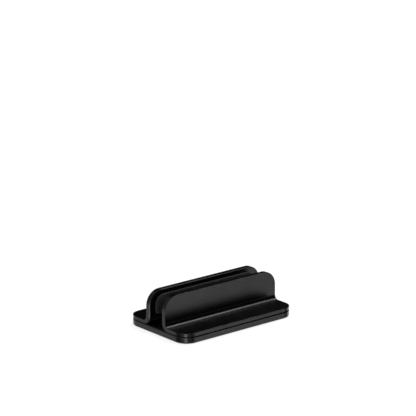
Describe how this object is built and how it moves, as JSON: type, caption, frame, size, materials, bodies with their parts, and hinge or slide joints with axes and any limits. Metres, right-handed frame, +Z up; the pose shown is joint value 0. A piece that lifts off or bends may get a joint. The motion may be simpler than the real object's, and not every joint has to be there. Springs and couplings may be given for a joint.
{
  "type": "laptop docking station",
  "caption": "Passive vertical laptop dock: a rounded base plate with two sliding L-shaped fins that clamp from below and hold a closed laptop upright in the slot between them.",
  "frame": {"origin": "centre of the footprint, on the desk under the silicone feet", "axes": "+X along the laptop slot to the right as seen from the front, +Y to the rear, +Z up"},
  "size_m": [0.15, 0.094, 0.0432],
  "materials": {
    "base_metal": "satin black anodised",
    "bracket_metal": "satin black anodised",
    "silicone": "matt silicone",
    "foot_silicone": "matt silicone",
    "screw_steel": "black oxide",
    "washer_steel": "bright zinc"
  },
  "bodies": {
    "base": {"base_plate": "base_metal", "rest_pad": "silicone", "foot_pad_front_left": "foot_silicone", "foot_pad_front_right": "foot_silicone", "foot_pad_rear_left": "foot_silicone", "foot_pad_rear_right": "foot_silicone"},
    "front_clamp": {"front_bracket": "bracket_metal", "front_fin_pad": "silicone", "clamp_screw_front_left": "screw_steel", "flat_washer_front_left": "washer_steel", "spring_washer_front_left": "washer_steel", "clamp_screw_front_right": "screw_steel", "flat_washer_front_right": "washer_steel", "spring_washer_front_right": "washer_steel"},
    "rear_clamp": {"rear_bracket": "bracket_metal", "rear_fin_pad": "silicone", "clamp_screw_rear_left": "screw_steel", "flat_washer_rear_left": "washer_steel", "spring_washer_rear_left": "washer_steel", "clamp_screw_rear_right": "screw_steel", "flat_washer_rear_right": "washer_steel", "spring_washer_rear_right": "washer_steel"}
  },
  "joints": [
    {"name": "front_clamp_slide", "type": "slide", "parent": "base", "child": "front_clamp", "axis": [0, -1, 0], "range_m": [-0.004, 0.008]},
    {"name": "rear_clamp_slide", "type": "slide", "parent": "base", "child": "rear_clamp", "axis": [0, 1, 0], "range_m": [-0.004, 0.008]}
  ]
}
